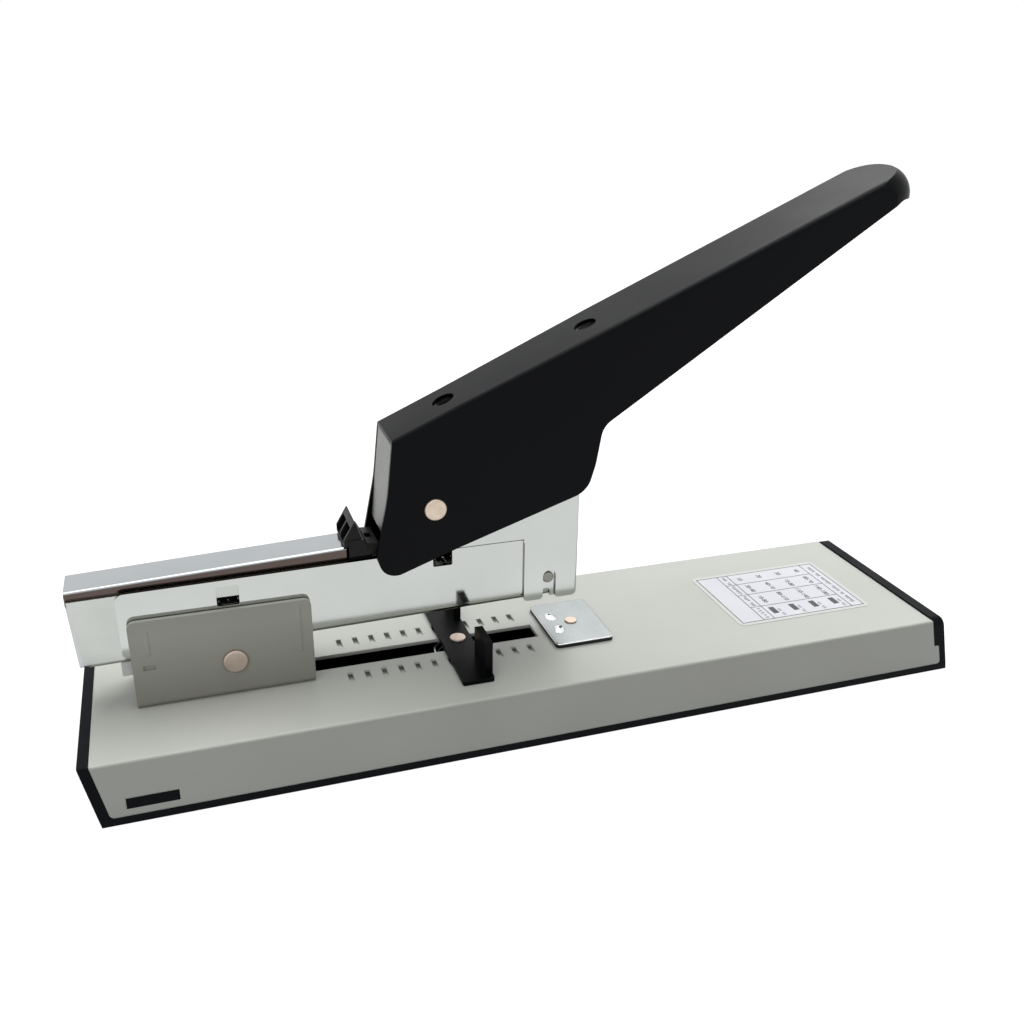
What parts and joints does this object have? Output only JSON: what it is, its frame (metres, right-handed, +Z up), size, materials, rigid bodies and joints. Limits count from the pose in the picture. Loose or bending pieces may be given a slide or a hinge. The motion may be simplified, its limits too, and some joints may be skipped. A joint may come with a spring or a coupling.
{
  "type": "heavy_duty_stapler",
  "caption": "Heavy-duty desk stapler: grey channel base with black tray, sliding paper guide and anvil, hinged chrome magazine head, and a long black lever handle",
  "frame": {"origin": "on the resting plane, at the middle of the central foot pad", "axes": "+X from the hinge end to the grip end, +Y across to the far side as seen in the picture, +Z up"},
  "size_m": [0.2892, 0.0734, 0.1705],
  "materials": {
    "base_enamel": "satin grey enamel",
    "handle_enamel": "satin black enamel",
    "chrome_plate": "bright chrome plate",
    "bracket_steel": "satin warm grey enamel",
    "anvil_steel": "satin nickel plate",
    "plain_steel": "plain steel",
    "rivet_steel": "bright rivet steel",
    "spring_steel": "bright drawn wire",
    "black_plastic": "black moulded plastic",
    "white_nylon": "natural white nylon",
    "label_film": "white printed film",
    "foot_rubber": "black rubber"
  },
  "bodies": {
    "base": {"base_cover": "base_enamel", "base_tray": "black_plastic", "rubber_feet": "foot_rubber", "base_posts": "plain_steel", "base_screws": "plain_steel", "base_stiffener": "plain_steel", "chart_label": "label_film", "hinge_bracket": "bracket_steel", "bracket_rivets": "plain_steel", "hinge_pin": "rivet_steel", "lift_spring": "spring_steel", "tail_stop": "white_nylon", "anvil_rivet": "anvil_steel"},
    "anvil": {"anvil_plate": "anvil_steel"},
    "guide": {"paper_guide": "black_plastic", "guide_rivet": "rivet_steel", "guide_washer": "plain_steel", "guide_spring": "spring_steel"},
    "head": {"magazine_channel": "chrome_plate", "side_plate_near": "chrome_plate", "side_plate_far": "chrome_plate", "nose_frame": "chrome_plate", "front_guide": "plain_steel", "nose_rivets": "chrome_plate", "handle_pin": "rivet_steel", "staple_rail": "plain_steel", "latch_pin": "plain_steel"},
    "cover": {"loading_cover": "chrome_plate", "pusher_rod": "plain_steel", "pusher_spring": "spring_steel"},
    "pusher": {"pusher": "plain_steel"},
    "latch": {"latch": "black_plastic", "latch_spring": "spring_steel"},
    "handle": {"handle_shell": "handle_enamel", "inner_lever": "plain_steel", "rear_plate": "anvil_steel", "roller_axle": "plain_steel", "handle_spring": "spring_steel"},
    "roller": {"press_roller": "plain_steel"},
    "driver": {"driver_blade": "plain_steel", "driver_carrier": "plain_steel"}
  },
  "joints": [
    {"name": "head_hinge", "type": "hinge", "parent": "base", "child": "head", "pos_m": [-0.0971, 0, 0.032], "axis": [0, 1, 0], "range_deg": [0, 7.6], "stiffness_Nm_per_rad": 5, "springref_deg": -28.65, "deforming": ["lift_spring"]},
    {"name": "anvil_turn", "type": "hinge", "parent": "base", "child": "anvil", "pos_m": [0.0155, 0, 0.0205], "axis": [0, 0, 1], "range_deg": [0, 180]},
    {"name": "guide_slide", "type": "slide", "parent": "base", "child": "guide", "axis": [1, 0, 0], "range_m": [-0.042, 0.0225]},
    {"name": "handle_hinge", "type": "hinge", "parent": "head", "child": "handle", "pos_m": [-0.0345, 0, 0.0741], "axis": [0, 1, 0], "range_deg": [0, 27], "stiffness_Nm_per_rad": 1.5, "springref_deg": -28.65},
    {"name": "roller_spin", "type": "hinge", "parent": "handle", "child": "roller", "pos_m": [0.004, 0, 0.0903], "axis": [0, 1, 0], "continuous": true},
    {"name": "driver_slide", "type": "slide", "parent": "head", "child": "driver", "axis": [0, 0, -1], "range_m": [0, 0.0195]},
    {"name": "cover_slide", "type": "slide", "parent": "head", "child": "cover", "axis": [-1, 0, 0], "range_m": [0, 0.105]},
    {"name": "pusher_slide", "type": "slide", "parent": "cover", "child": "pusher", "axis": [-1, 0, 0], "range_m": [0, 0.09], "deforming": ["pusher_spring"]},
    {"name": "latch_tip", "type": "hinge", "parent": "head", "child": "latch", "pos_m": [-0.056, 0, 0.0556], "axis": [0, 1, 0], "range_deg": [0, 5]}
  ],
  "couplings": [
    {"joint": "driver_slide", "follows": "handle_hinge", "m_per_rad": 0.041}
  ]
}
